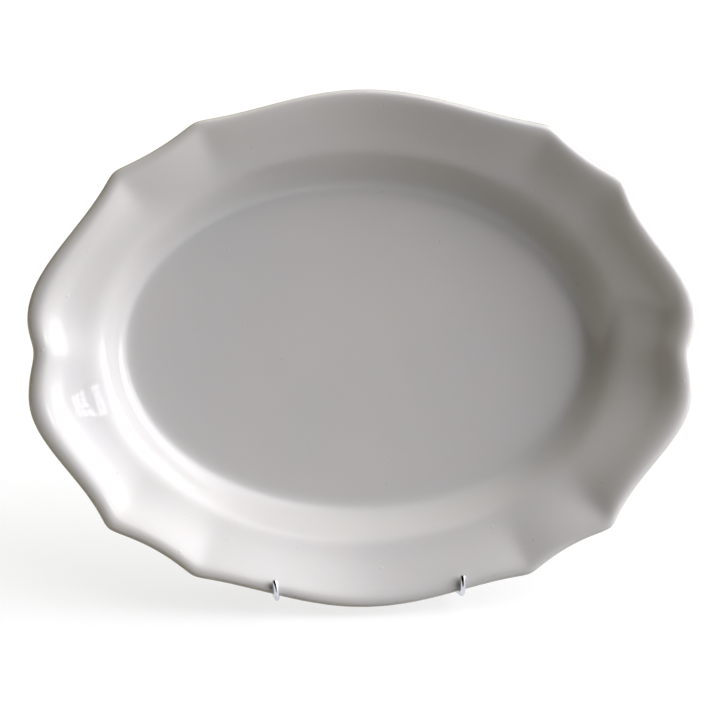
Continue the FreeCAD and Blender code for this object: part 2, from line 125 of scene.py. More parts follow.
# The section, as control points: mean distance out from the floor's edge, and height. From the
# middle of the floor over the wall, flange and rolled rim, then back round the foot ring.
SECTION = [
    (-110, FLOOR),
    (-90, FLOOR),
    (-60, FLOOR),
    (-30, FLOOR),
    (-6, FLOOR),
    (3, FLOOR),
    (8, FLOOR + 1.2),
    (12.5, FLOOR + 5),
    (WALL_RUN - 5.5, VERGE - 7),
    (WALL_RUN - 1.5, VERGE - 3),
    (WALL_RUN + 3.5, VERGE + 0.8),
    (WALL_RUN + 10, VERGE + 3.3),
    (WALL_RUN + 17, VERGE + 6.3),
    (RIM_RUN - 21, VERGE + 9.3),
    (RIM_RUN - 16, VERGE + 12.3),
    (RIM_RUN - 12, VERGE + 14.6),
    (RIM_RUN - 8.5, CREST - 0.6),
    (RIM_RUN - 5.5, CREST + 0.3),
    (RIM_RUN - 2.5, CREST + 0.1),
    (RIM_RUN - 0.2, CREST - 1.1),
    (RIM_RUN + 0.5, CREST - 3.4),
    (RIM_RUN - 0.3, CREST - 5.7),
    (RIM_RUN - 3.2, CREST - 6.4),
    (RIM_RUN - 7, CREST - 6.7),
    (RIM_RUN - 11, CREST - 8),
    (RIM_RUN - 16, UNDER + 11.4),
    (RIM_RUN - 22, UNDER + 8.3),
    (WALL_RUN + 15, UNDER + 5),
    (WALL_RUN + 8.5, UNDER + 2.4),
    (WALL_RUN + 3.5, UNDER + 0.2),
    (WALL_RUN - 0.5, UNDER - 2.6),
    (17.5, BASE + 9.4),
    (13, BASE + 4.6),
    (8.8, BASE + 0.9),
    (7.6, BASE - 1.7),
    (6.6, 0),
    (4.6, 0),
    (2.6, 0),
    (1.6, BASE - 1.7),
    (0.2, BASE),
    (-6, BASE),
    (-30, BASE),
    (-60, BASE),
    (-90, BASE),
    (-110, BASE),
]
WALL_FOOT_POLE = 6              # the control point at the foot of the wall, where glaze pools
EDGE_POLE = 20                  # the outermost control point, where glaze runs thin and a warm reflection is painted on
FOOT_POLE = 36                  # the control point under the bare foot ring

# ---------------------------------------------------------------- the easel's place in the row


def joint(name):
    """A joint of the record."""
    return next(item for item in frame["joints"] if item["name"] == name)


ACROSS = Vector((1, 0, 0))
UP = Vector(joint("platter_lift")["axis"]).normalized()
OUT = ACROSS.cross(UP)
LEAN = math.atan2(UP.y, UP.z)
EASEL_CENTRE = Vector(joint("leg_fold")["pos_m"]) - UP * PIVOT_HEIGHT * MM + OUT * PIVOT_DEPTH * MM
PLATTER_CENTRE = EASEL_CENTRE - ACROSS * EASEL_OFFSET * MM


def placed(points, centre):
    """Easel millimetres to metres in the row frame."""
    points = np.asarray(points, float)
    axes = np.array([ACROSS, UP, OUT], float)
    return points @ axes * MM + np.array(centre, float)


def new_mesh(name, vertices, faces, smooth=True):
    """A mesh object from arrays of points and faces."""
    mesh = bpy.data.meshes.new(name)
    mesh.from_pydata([tuple(v) for v in vertices], [], faces)
    mesh.polygons.foreach_set("use_smooth", [smooth] * len(mesh.polygons))
    mesh.update()
    piece = bpy.data.objects.new(name, mesh)
    bpy.context.scene.collection.objects.link(piece)
    return piece


def store(piece, name, values):
    """A number for each point of a piece, for its material to read."""
    attribute = piece.data.attributes.new(name, "FLOAT", "POINT")
    attribute.data.foreach_set("value", np.asarray(values, np.float32))


# ---------------------------------------------------------------- platter


def turned(vector, degrees):
    """A flat vector turned anticlockwise."""
    angle = math.radians(degrees)
    turn = np.array([[math.cos(angle), -math.sin(angle)], [math.sin(angle), math.cos(angle)]])
    return turn @ vector


def rim_heading(kind, point, chord, hollow):
    """Direction of the clockwise rim at one of its points."""
    if kind == "crown":
        return np.array([math.copysign(1, point[1]), 0])
    if kind == "lobe":
        return np.array([0, -math.copysign(1, point[0])])
    return turned(chord / np.linalg.norm(chord), hollow)


def rim_handle(kind):
    """Length of a rim curve's handle, as a share of its chord."""
    return LOBE_HANDLE if kind == "lobe" else RIM_HANDLE


def rim_points():
    """Points along the rim: a cubic curve from each listed point to the next."""
    points = []
    share = np.linspace(0, 1, RIM_STEPS, endpoint=False)[:, None]
    for index, (kind, x, y, hollow) in enumerate(RIM):
        next_kind, next_x, next_y, _ = RIM[(index + 1) % len(RIM)]
        start = np.array([x, y], float)
        end = np.array([next_x, next_y], float)
        chord = end - start
        length = np.linalg.norm(chord)
        leave = start + rim_heading(kind, start, chord, -hollow) * rim_handle(kind) * length
        arrive = end - rim_heading(next_kind, end, chord, hollow) * rim_handle(next_kind) * length
        points.append(
            (1 - share) ** 3 * start + 3 * (1 - share) ** 2 * share * leave
            + 3 * (1 - share) * share ** 2 * arrive + share ** 3 * end)
    return np.concatenate(points)


def rim_radii():
    """Distance of the rim from the centre, at each of TURN_POLES even angles."""
    points = rim_points()
    angles = np.arctan2(points[:, 1], points[:, 0]) % (2 * math.pi)
    order = np.argsort(angles)
    turns = np.arange(TURN_POLES) * 2 * math.pi / TURN_POLES
    return np.interp(turns, angles[order], np.hypot(*points[order].T), period=2 * math.pi)


def softened(radii, spread_degrees):
    """The same closed outline with its corners spread over an angle."""
    spread = spread_degrees * TURN_POLES / 360
    reach = math.ceil(3 * spread)
    steps = np.arange(-reach, reach + 1)
    weights = np.exp(-0.5 * (steps / spread) ** 2)
    weights /= weights.sum()
    return sum(w * np.roll(radii, -step) for w, step in zip(weights, steps))


VERGE_PASSES = 6                # closer and closer guesses at where a square line leaves the verge


def verge_turns(x, y):
    """Angles round the verge's oval at which lines square to it run out through some points."""
    long, short = VERGE_OVAL
    turns = np.arctan2(y / short, x / long)
    for _ in range(VERGE_PASSES):
        centre_x = (long ** 2 - short ** 2) * np.cos(turns) ** 3 / long
        centre_y = (short ** 2 - long ** 2) * np.sin(turns) ** 3 / short
        bend = np.hypot(long * np.cos(turns) - centre_x, short * np.sin(turns) - centre_y)
        share = bend / np.hypot(x - centre_x, y - centre_y)
        turns = np.arctan2(
            (centre_y + (y - centre_y) * share) / short, (centre_x + (x - centre_x) * share) / long)
    return turns


def lip_distance(distance, angles):
    """A distance out on the section, with the rim's rolled lip broader at the platter's ends."""
    inset = RIM_RUN - distance
    if not 0 < inset < ROLL_REACH:
        return np.full(len(angles), float(distance))
    breadth = ROLL_AT_SIDES + (ROLL_AT_ENDS - ROLL_AT_SIDES) * np.cos(angles) ** 4
    return RIM_RUN - inset * (1 + (breadth - 1) * (1 - inset / ROLL_REACH))


def platter_ring(distance, height, rim):
    """Control points of one ring: between the floor's oval, the verge's oval and the rim."""
    angles = np.arange(TURN_POLES) * 2 * math.pi / TURN_POLES
    heading = np.column_stack([np.cos(angles), np.sin(angles)])
    turns = verge_turns(*(rim[:, None] * heading).T)
    oval = np.column_stack([np.cos(turns), np.sin(turns)])
    floor = oval * FLOOR_OVAL
    verge = oval * VERGE_OVAL
    if distance < 0:
        ring = floor * (1 + distance / FLOOR_RUN)
    elif distance < WALL_RUN:
        ring = floor + (verge - floor) * distance / WALL_RUN
    else:
        inward = min(max((RIM_RUN - distance) / FLANGE_RUN, 0), 1)
        broad = softened(rim, BROAD_SPREAD)
        detail = softened(rim, CORNER_SPREAD + CREASE_SPREAD * inward ** 3) - broad
        outward = (lip_distance(distance, angles) - WALL_RUN) / FLANGE_RUN
        ring = verge + (broad[:, None] * heading - verge) * outward[:, None]
        ring = ring + (detail * outward ** CREASE_HOLD)[:, None] * heading
    return np.column_stack([ring, np.full(TURN_POLES, height)])


def cubic_weights(knots, count, at):
    """Weights of the cubic B-spline's control points at each place along it."""
    basis = np.array([(knots[i] <= at) & (at < knots[i + 1]) for i in range(len(knots) - 1)], float)
    for degree in (1, 2, 3):
        raised = np.zeros((len(knots) - 1 - degree, len(at)))
        for i in range(len(raised)):
            left = knots[i + degree] - knots[i]
            right = knots[i + degree + 1] - knots[i + 1]
            if left > 0:
                raised[i] += (at - knots[i]) / left * basis[i]
            if right > 0:
                raised[i] += (knots[i + degree + 1] - at) / right * basis[i + 1]
        basis = raised
    return basis[:count].T


TURNS_PER_POLE = 4              # points of the skin for each control point round it
ROWS_PER_POLE = 5               # and for each one along the section
WARP = 0.05                     # about how far the fired skin strays
WARP_WAVES = (60, 160)          # least and most length of its waves
DIMPLE = 0.004                  # the same for the finer dimples in the glaze
DIMPLE_WAVES = (14, 30)
TRUE_HEIGHT = 2                 # the foot ring stays true up to here, and lies flat on the wires
TRUE_FADE = 6                   # the unevenness comes in over this much more height


def platter_grid():
    """Points of the platter's skin, as rows from the floor's centre round to the base's centre."""
    rim = rim_radii()
    poles = np.array([platter_ring(distance, height, rim) for distance, height in SECTION])
    rows = len(SECTION)
    ends = np.arange(rows - 2)
    row_knots = np.concatenate([[0, 0, 0], ends, [rows - 3] * 3]).astype(float)
    along = np.linspace(0, rows - 3 - 1e-9, (rows - 3) * ROWS_PER_POLE + 1)
    row_weights = cubic_weights(row_knots, rows, along)
    turn_knots = np.arange(-3, TURN_POLES + 4).astype(float)
    around = np.arange(TURN_POLES * TURNS_PER_POLE) / TURNS_PER_POLE
    turn_weights = cubic_weights(turn_knots, TURN_POLES + 3, around)
    wrapped = np.concatenate([poles, poles[:, :3]], axis=1)
    grid = np.einsum("rp,pqc->rqc", row_weights, wrapped)
    grid = np.einsum("tq,rqc->rtc", turn_weights, grid)
    return grid, row_weights @ np.arange(rows)


def grid_normals(grid):
    """Outward unit normals of the skin."""
    round_step = np.roll(grid, -1, 1) - np.roll(grid, 1, 1)
    out_step = np.gradient(grid, axis=0)
    normals = np.cross(out_step, round_step)
    return normals / np.maximum(np.linalg.norm(normals, axis=2, keepdims=True), 1e-12)


def gentle_waves(grid, seed, count, lengths):
    """Smooth unevenness with no pattern, from -1 to 1 or so."""
    random = np.random.default_rng(seed)
    total = np.zeros(grid.shape[:2])
    for _ in range(count):
        direction = random.normal(size=3)
        direction /= np.linalg.norm(direction)
        wave = random.uniform(*lengths)
        total += np.sin(grid @ direction * 2 * math.pi / wave + random.uniform(0, 2 * math.pi))
    return total / math.sqrt(count)


def make_platter():
    """The fired body: a closed skin, a little uneven as a moulded and glazed dish is."""
    grid, place = platter_grid()
    normals = grid_normals(grid)
    unevenness = WARP * gentle_waves(grid, seed=3, count=24, lengths=WARP_WAVES)
    unevenness = unevenness + DIMPLE * gentle_waves(grid, seed=4, count=30, lengths=DIMPLE_WAVES)
    share = np.clip((grid[..., 2] - TRUE_HEIGHT) / TRUE_FADE, 0, 1)
    grid = grid + normals * (unevenness * share)[..., None]
    rows, turns = grid.shape[:2]
    vertices = placed(grid.reshape(-1, 3), PLATTER_CENTRE)
    index = np.arange(rows * turns).reshape(rows, turns)
    beside = np.roll(index, -1, 1)
    quads = np.stack([index[:-1], index[1:], beside[1:], beside[:-1]], axis=-1).reshape(-1, 4)
    faces = quads.tolist()
    middles = placed([grid[0].mean(0), grid[-1].mean(0)], PLATTER_CENTRE)
    top = rows * turns
    faces += [[top, index[0, t], beside[0, t]] for t in range(turns)]
    faces += [[top + 1, beside[-1, t], index[-1, t]] for t in range(turns)]
    piece = new_mesh("platter_china", np.vstack([vertices, middles]), faces)
    places = np.append(np.repeat(place, turns), [0, len(SECTION) - 1])
    store(piece, "section_place", places)
    return piece


# ---------------------------------------------------------------- wires


def line(start, end):
    """A straight run."""
    return [np.array(start, float), np.array(end, float)]


def arc(start, middle, end, steps):
    """Points of the arc through three points."""
    a, b, c = (np.array(p, float) for p in (start, middle, end))
    normal = np.cross(b - a, c - a)
    to_b = np.cross(normal, b - a) * np.dot(c - a, c - a)
    to_c = np.cross(c - a, normal) * np.dot(b - a, b - a)
    centre = a + (to_b + to_c) / (2 * np.dot(normal, normal))
    first = (a - centre) / np.linalg.norm(a - centre)
    side = np.cross(normal / np.linalg.norm(normal), first)
    sweep = math.atan2(np.dot(c - centre, side), np.dot(c - centre, first)) % (2 * math.pi)
    radius = np.linalg.norm(a - centre)
    angles = np.linspace(0, sweep, steps + 1)
    return [centre + radius * (math.cos(t) * first + math.sin(t) * side) for t in angles]


def rounded_corner(before, corner, after, radius, steps):
    """Points of the arc that rounds a corner."""
    before, corner, after = (np.array(p, float) for p in (before, corner, after))
    back = (before - corner) / np.linalg.norm(before - corner)
    ahead = (after - corner) / np.linalg.norm(after - corner)
    half = math.acos(np.clip(np.dot(back, ahead), -1, 1)) / 2
    bisector = (back + ahead) / np.linalg.norm(back + ahead)
    middle = corner + bisector * (radius / math.sin(half) - radius)
    start = corner + back * radius / math.tan(half)
    end = corner + ahead * radius / math.tan(half)
    return arc(start, middle, end, steps)


LONGEST_STEP = 4                # between a wire path's points, on its straight runs
HOOK_STEPS = 18                 # steps round each bend
ARCH_STEPS = 72
TAIL_STEPS = 14
EYE_STEPS = (20, 32, 12)        # round its back to the bottom, up its front, and over to the leg
REAR_FOOT_STEPS = 20


def joined(*runs):
    """Runs end to end, with each shared point kept once and long gaps filled in."""
    points = [runs[0][0]]
    for run in runs:
        for point in run:
            gap = np.linalg.norm(point - points[-1])
            if gap < 1e-6:
                continue
            pieces = max(1, math.ceil(gap / LONGEST_STEP))
            start = points[-1]
            points += [start + (point - start) * step / pieces for step in range(1, pieces + 1)]
    return np.array(points)


WIRE_SIDES = 32
WIRE_END = [                    # inset from a wire's end, and share of its radius
    (0, 0.001), (0.02, 0.55), (0.1, 0.84), (0.22, 0.96), (0.36, 1)]
WIRE_SEAM = [0.3, 0.5, 0.8]     # a direction that no wire starts along
GENTLE_BEND = 0.05              # curvature up to which a bend doesn't squeeze the wire
SQUEEZE_PER_BEND = 0.22
MOST_SQUEEZE = 0.05
SHEAR = 0.025                   # usual slope of a cut end
SHEARED_RINGS = 3               # how many rings at each end lean with the cut


def wire_tangents(path):
    """Unit directions along a path, at each of its points."""
    tangents = np.gradient(path, axis=0)
    tangents[0] = path[1] - path[0]
    tangents[-1] = path[-1] - path[-2]
    return tangents / np.linalg.norm(tangents, axis=1, keepdims=True)


def wire_turning(lengths, tangents):
    """Curvature at each point of a path, pointing to the inside of its bend."""
    turning = np.zeros(tangents.shape)
    spans = np.maximum(lengths[2:] - lengths[:-2], 1e-9)
    turning[1:-1] = (tangents[2:] - tangents[:-2]) / spans[:, None]
    return turning


def wire_stations(path, tangents):
    """Places of a wire's rings: centre, share of the full radius, and index of the path's point."""
    last = len(path) - 1
    start = [(path[0] + tangents[0] * inset, share, 0) for inset, share in WIRE_END]
    run = [(path[i], 1, i) for i in range(1, last)]
    end = [(path[last] - tangents[last] * inset, share, last) for inset, share in WIRE_END[::-1]]
    return start + run + end


def squeezed(offsets, turning, radius):
    """A ring's unit offsets, flattened a little towards the inside of a tight bend."""
    bend = np.linalg.norm(turning)
    if bend <= GENTLE_BEND:
        return offsets
    inward = turning / bend
    squeeze = min(MOST_SQUEEZE, SQUEEZE_PER_BEND * bend * radius)
    return offsets - inward * (offsets @ inward)[:, None] * squeeze


def shear_ends(rings, tangents, seed):
    """Slopes the last few rings at each end of a wire, as cutters leave them."""
    slopes = np.random.default_rng(seed).normal(scale=SHEAR, size=(2, 3))
    ends = ((range(SHEARED_RINGS), tangents[0]), (range(-SHEARED_RINGS, 0), tangents[-1]))
    for slope, (rows, tangent) in zip(slopes, ends):
        for row in rows:
            lean = (rings[row] - rings[row].mean(0)) @ slope
            rings[row] += tangent * lean[:, None]


def wire_mesh(name, path, diameter, centre, seed):
    """A round wire along a path, squeezed a little in its tight bends, with sheared ends."""
    tangents = wire_tangents(path)
    steps = np.linalg.norm(np.diff(path, axis=0), axis=1)
    lengths = np.concatenate([[0], np.cumsum(steps)])
    turning = wire_turning(lengths, tangents)
    angles = np.arange(WIRE_SIDES) * 2 * math.pi / WIRE_SIDES
    side = np.cross(tangents[0], WIRE_SEAM)
    rings = []
    runs = []
    for point, share, at in wire_stations(path, tangents):
        side = side - tangents[at] * np.dot(side, tangents[at])
        side /= np.linalg.norm(side)
        other = np.cross(tangents[at], side)
        offsets = np.cos(angles)[:, None] * side + np.sin(angles)[:, None] * other
        offsets = squeezed(offsets, turning[at], diameter / 2)
        rings.append(point + offsets * diameter / 2 * share)
        runs.append(lengths[at])
    rings = np.array(rings)
    shear_ends(rings, tangents, seed)
    rows = len(rings)
    index = np.arange(rows * WIRE_SIDES).reshape(rows, WIRE_SIDES)
    beside = np.roll(index, -1, 1)
    quads = np.stack([index[:-1], beside[:-1], beside[1:], index[1:]], axis=-1).reshape(-1, 4)
    faces = quads.tolist()
    faces.append(index[0][::-1].tolist())
    faces.append(index[-1].tolist())
    piece = new_mesh(name, placed(rings.reshape(-1, 3), centre), faces)
    store(piece, "along", np.repeat(runs, WIRE_SIDES) * MM)
    store(piece, "around", np.tile(np.arange(WIRE_SIDES) / WIRE_SIDES, rows))
    return piece


def hook_run(side):
    """From a hook's tip to the top of its front foot, on one side. The left tip is bent askew."""
    across = side * HALF_SPACING
    arm = -ARM_DROP
    askew = LEFT_TIP_ASKEW if side < 0 else 0
    tip = (across - askew, arm + HOOK_TIP, HOOK_REACH)
    corner = (across, arm, HOOK_REACH)
    low = (across, arm, -UPRIGHT_DEPTH)
    top = (across, 0, -UPRIGHT_DEPTH)
    return [
        [np.array(tip, float)],
        rounded_corner(tip, corner, low, HOOK_RADIUS, HOOK_STEPS),
        rounded_corner(corner, low, top, FOOT_RADIUS, HOOK_STEPS),
    ]


def front_frame_path():
    """The front frame's one wire, from the left hook's tip to the right one's."""
    left = hook_run(-1)
    right = [run[::-1] for run in hook_run(1)[::-1]]
    arch = arc(
        (-HALF_SPACING, ARCH_CENTRE, -UPRIGHT_DEPTH),
        (0, ARCH_CENTRE + HALF_SPACING, -UPRIGHT_DEPTH),
        (HALF_SPACING, ARCH_CENTRE, -UPRIGHT_DEPTH), ARCH_STEPS)
    return joined(*left, arch, *right)


def floor_drop():
    """Depth of the floor below the platter's centre, measured upright."""
    up = FOOT_RADIUS - ARM_DROP
    out = FOOT_RADIUS - UPRIGHT_DEPTH
    return FOOT_RADIUS + FRAME_WIRE / 2 - up * math.cos(LEAN) - out * math.sin(LEAN)


def leg_run(side):
    """One side of the leg, from its stop tail's end to the middle of the rear foot."""
    wire = LEG_WIRE / 2
    eye = FRAME_WIRE / 2 + EYE_CLEARANCE + wire
    outer = side * (HALF_SPACING - EYE_INSET)
    inner = outer - side * EYE_PITCH
    splay = math.radians(LEG_SPLAY)
    tail = math.radians(TAIL_ANGLE)

    def on_eye(across, degrees):
        """A point of the eye, its angle measured from straight up towards the back."""
        angle = math.radians(degrees)
        return np.array([
            across, PIVOT_HEIGHT + eye * math.cos(angle), -PIVOT_DEPTH - eye * math.sin(angle)])

    tail_degrees = 90 - TAIL_ANGLE
    leg_degrees = 90 - math.degrees(LEAN) - LEG_SPLAY
    entry = on_eye(outer, tail_degrees)
    bottom = on_eye(outer, 180)
    top = on_eye(inner, 0)
    leaving = on_eye(inner, leg_degrees)
    front = (bottom + top) / 2 + np.array([0, 0, np.linalg.norm(bottom - top) / 2])
    stop_out = -UPRIGHT_DEPTH - FRAME_WIRE / 2 - TAIL_CLEARANCE - wire
    climb = (stop_out - entry[2]) / math.sin(tail)
    corner = entry + np.array([0, climb * math.cos(tail), climb * math.sin(tail)])
    tail_end = np.array([side * (HALF_SPACING + TAIL_OVERHANG), corner[1], corner[2]])
    height = leaving[1] * math.cos(LEAN) + leaving[2] * math.sin(LEAN) + floor_drop() - wire
    reach = height / math.cos(splay)
    foot = leaving - np.array([0, math.cos(LEAN + splay), math.sin(LEAN + splay)]) * reach
    middle = np.array([0, foot[1], foot[2]])
    return [
        [tail_end],
        rounded_corner(tail_end, corner, entry, TAIL_RADIUS, TAIL_STEPS),
        arc(entry, on_eye(outer, (tail_degrees + 180) / 2), bottom, EYE_STEPS[0]),
        arc(bottom, front, top, EYE_STEPS[1]),
        arc(top, on_eye(inner, leg_degrees / 2), leaving, EYE_STEPS[2]),
        rounded_corner(leaving, foot, middle, REAR_FOOT_RADIUS, REAR_FOOT_STEPS),
        [middle],
    ]


def rear_leg_path():
    """The rear leg's one wire, from tail to tail."""
    right = leg_run(1)
    left = [run[::-1] for run in leg_run(-1)[::-1]]
    return joined(*right, *left)


def cross_wire_path(up, half_length):
    """A straight wire behind the uprights."""
    return joined(line((-half_length, up, -PIVOT_DEPTH), (half_length, up, -PIVOT_DEPTH)))


WELD_RINGS = 15
WELD_SIDES = 40
WELD_SPREAD = 1.55              # half the usual width of a weld's bead
WELD_RISE = 0.75                # half its thickness
WELD_WAVES = 4                  # waves of lumps round it
WELD_LUMPS = 0.07               # how much the first of them widens it, as a share
WELD_STRETCH = 0.10             # how much longer it is one way


def weld_points(seed):
    """A lumpy flat bead about its own middle: rings from front to back, then its two end points."""
    *phases, skew = np.random.default_rng(seed).uniform(0, 2 * math.pi, WELD_WAVES + 1)
    points = []
    for i in range(1, WELD_RINGS):
        polar = math.pi * i / WELD_RINGS
        for j in range(WELD_SIDES):
            angle = 2 * math.pi * j / WELD_SIDES
            lumps = [
                math.sin((k + 2) * angle + phase + 2 * polar) / (k + 1)
                for k, phase in enumerate(phases)]
            stretch = 1 + WELD_STRETCH * math.cos(2 * angle + skew)
            spread = WELD_SPREAD * math.sin(polar) * (1 + WELD_LUMPS * sum(lumps)) * stretch
            points.append([
                spread * math.cos(angle), spread * math.sin(angle), WELD_RISE * math.cos(polar)])
    return np.array(points + [[0, 0, WELD_RISE], [0, 0, -WELD_RISE]])


def weld_faces():
    """Faces of a bead: a band between each two rings, and a fan at each end."""
    faces = []
    for i in range(WELD_RINGS - 2):
        for j in range(WELD_SIDES):
            a, b = i * WELD_SIDES + j, i * WELD_SIDES + (j + 1) % WELD_SIDES
            faces.append([a, a + WELD_SIDES, b + WELD_SIDES, b])
    front = (WELD_RINGS - 1) * WELD_SIDES
    back = front + 1
    base = (WELD_RINGS - 2) * WELD_SIDES
    faces += [[front, j, (j + 1) % WELD_SIDES] for j in range(WELD_SIDES)]
    faces += [[back, base + (j + 1) % WELD_SIDES, base + j] for j in range(WELD_SIDES)]
    return faces


def weld_bead(up, side, seed):
    """The flash squeezed out where two crossed wires are welded."""
    centre = np.array([side * HALF_SPACING, up, -UPRIGHT_DEPTH - FRAME_WIRE / 2])
    height = "upper" if up > 0 else "lower"
    hand = "right" if side > 0 else "left"
    points = placed(weld_points(seed) + centre, EASEL_CENTRE)
    return new_mesh(f"weld_{height}_{hand}", points, weld_faces())


# ---------------------------------------------------------------- materials

GLAZE_IOR = 1.52
GLAZE_WARM = (0.74, 0.72, 0.685, 1)
GLAZE_COOL = (0.71, 0.70, 0.68, 1)
GLAZE_CREAM = (0.74, 0.70, 0.64, 1)
GLAZE_POOLED = (0.65, 0.66, 0.645, 1)
# Thin glaze on the outer edge, with a painted warm reflection mixed into its colour
THIN_GLAZE_AND_PAINTED_REFLECTION = (0.50, 0.40, 0.20, 1)
IRON_SPECK = (0.12, 0.07, 0.035, 1)
BISCUIT = (0.56, 0.50, 0.41, 1)
BISCUIT_GRIME = (0.30, 0.25, 0.19, 1)
CHROME = (0.66, 0.68, 0.72, 1)
CHROME_HAZY = (0.54, 0.555, 0.59, 1)
CHROME_TARNISHED = (0.34, 0.28, 0.21, 1)
FLOOR_GREYS = ((0.29, 0.29, 0.29, 1), (0.31, 0.31, 0.305, 1))
WHITE = (1, 1, 1, 1)
BLACK = (0, 0, 0, 1)


class Shader:
    """A node tree, with nodes added and linked by short calls."""

    def __init__(self, tree):
        self.nodes = tree.nodes
        self.links = tree.links

    def put(self, socket, value):
        """Sets an input, or links another node's output to it."""
        if isinstance(value, bpy.types.NodeSocket):
            self.links.new(value, socket)
        else:
            socket.default_value = value

    def node(self, kind, inputs=(), output=0, **settings):
        """A node with its settings and inputs, as one of its outputs."""
        made = self.nodes.new(kind)
        for key, value in settings.items():
            setattr(made, key, value)
        for key, value in dict(inputs).items():
            self.put(made.inputs[key], value)
        return made.outputs[output]

    def maths(self, operation, first, second=0.0, third=0.0):
        """A sum on one to three numbers."""
        return self.node("ShaderNodeMath", {0: first, 1: second, 2: third}, operation=operation)

    def noise(self, scale, detail=2.0, roughness=0.5, vector=None):
        """Noise from 0 to 1, its scale in lumps per metre, in object space if no place is given."""
        place = vector or self.node("ShaderNodeTexCoord", output="Object")
        inputs = {"Vector": place, "Scale": scale, "Detail": detail, "Roughness": roughness}
        return self.node("ShaderNodeTexNoise", inputs)

    def between(self, value, low, high, to_low=0.0, to_high=1.0):
        """A value's smooth place between two numbers, spread over another two."""
        inputs = {
            "Value": value, "From Min": low, "From Max": high, "To Min": to_low, "To Max": to_high}
        return self.node("ShaderNodeMapRange", inputs, interpolation_type="SMOOTHSTEP")

    def dot(self, first, second):
        """How far one direction runs along another."""
        inputs = {0: first, 1: second}
        return self.node("ShaderNodeVectorMath", inputs, "Value", operation="DOT_PRODUCT")

    def scaled(self, vector, scale):
        """A vector or colour times a number."""
        return self.node("ShaderNodeVectorMath", {0: vector, "Scale": scale}, operation="SCALE")

    def attribute(self, name):
        """A number stored on the mesh."""
        return self.node("ShaderNodeAttribute", output="Fac", attribute_name=name)

    def blend(self, share, first, second):
        """One colour towards another."""
        made = self.nodes.new("ShaderNodeMix")
        made.data_type = "RGBA"
        self.put(made.inputs["Factor"], share)
        self.put(made.inputs["A"], first)
        self.put(made.inputs["B"], second)
        return made.outputs["Result"]

    def bump(self, height, strength, distance, normal=None):
        """A normal bumped by a height, over a distance in metres, on top of any bump given."""
        inputs = {"Height": height, "Strength": strength, "Distance": distance}
        if normal is not None:
            inputs["Normal"] = normal
        return self.node("ShaderNodeBump", inputs)


def new_material(name):
    """A material, its node tree and the inputs of its surface."""
    material = bpy.data.materials.new(name)
    material.use_nodes = True
    s = Shader(material.node_tree)
    return material, s, s.nodes["Principled BSDF"].inputs


def spots(s, scale, radius, shift):
    """Sparse round spots of about a radius in metres: 1 inside them, 0 outside."""
    place = s.node("ShaderNodeTexCoord", output="Object")
    moved = s.node("ShaderNodeVectorMath", {0: place, 1: (shift, 0, 0)})
    distance = s.node("ShaderNodeTexVoronoi", {"Vector": moved, "Scale": scale}, "Distance")
    return s.between(distance, radius * scale, radius * scale * 0.5)


def streaks(s, turn, length, width):
    """Long thin marks lying one way, from 0 to 1: their rough length and width in metres."""
    place = s.node("ShaderNodeTexCoord", output="Object")
    stretched = s.node("ShaderNodeMapping", {
        "Vector": place, "Rotation": (0, turn, 0), "Scale": (1 / length, 1 / length, 1 / width)})
    return s.noise(1, 1, 0.5, stretched)


def along_section(s, middle, half_width):
    """1 at one of the platter section's control points, fading to 0 a number of points away."""
    away = s.maths("ABSOLUTE", s.maths("SUBTRACT", s.attribute("section_place"), middle))
    return s.between(away, half_width, half_width * 0.2)


SPECKS_PER_METRE = 66
SPECK_RADIUS = 0.0004
PIPS_PER_METRE = 60
PIP_RADIUS = 0.0011
MARK_LENGTH = 0.035
MARK_WIDTH = 0.0006
MARK_TURNS = (0.5, -0.9, 1.9)   # ways that the knife marks run, in radians


def china_colour(s, bare, grime):
    """Mottled cream glaze, greyer where it pools, with a few iron specks, and yellower on the edge,
    where glaze runs thin and a warm reflection is painted on.
    """
    mottle = s.between(s.noise(9, 4, 0.55), 0.36, 0.64)
    fine = s.between(s.noise(75, 3, 0.6), 0.3, 0.7)
    colour = s.blend(mottle, GLAZE_WARM, GLAZE_COOL)
    colour = s.blend(s.maths("MULTIPLY", fine, 0.25), colour, GLAZE_CREAM)
    pooled = s.maths("MULTIPLY", along_section(s, WALL_FOOT_POLE, half_width=2.2), 0.3)
    colour = s.blend(pooled, colour, GLAZE_POOLED)
    # The outer edge: thin glaze, and a warm reflection painted on in the same colour
    patchy = s.between(s.noise(30, 4), 0.2, 0.6, 0.45, 0.95)
    thin_glaze_and_reflection = s.maths("MULTIPLY", along_section(s, EDGE_POLE, half_width=1.5), patchy)
    colour = s.blend(thin_glaze_and_reflection, colour, THIN_GLAZE_AND_PAINTED_REFLECTION)
    specks = spots(s, SPECKS_PER_METRE, SPECK_RADIUS, shift=0)
    colour = s.blend(s.maths("MULTIPLY", specks, 0.7), colour, IRON_SPECK)
    return s.blend(bare, colour, s.blend(grime, BISCUIT, BISCUIT_GRIME))


def china_gloss(s):
    """Roughness of the glaze's skin: knife marks in the well, and smears from handling."""
    well = s.between(s.attribute("section_place"), 5, 4)
    marks = [
        s.between(streaks(s, turn, MARK_LENGTH, MARK_WIDTH), 0.66, 0.74) for turn in MARK_TURNS]
    marked = s.maths("MAXIMUM", s.maths("MAXIMUM", marks[0], marks[1]), marks[2])
    worn = s.maths("MULTIPLY", marked, well)
    smear = s.between(s.noise(22, 5, 0.6), 0.35, 0.7, 0.0, 0.05)
    return s.maths("ADD", s.maths("MULTIPLY_ADD", worn, 0.12, 0.03), smear)


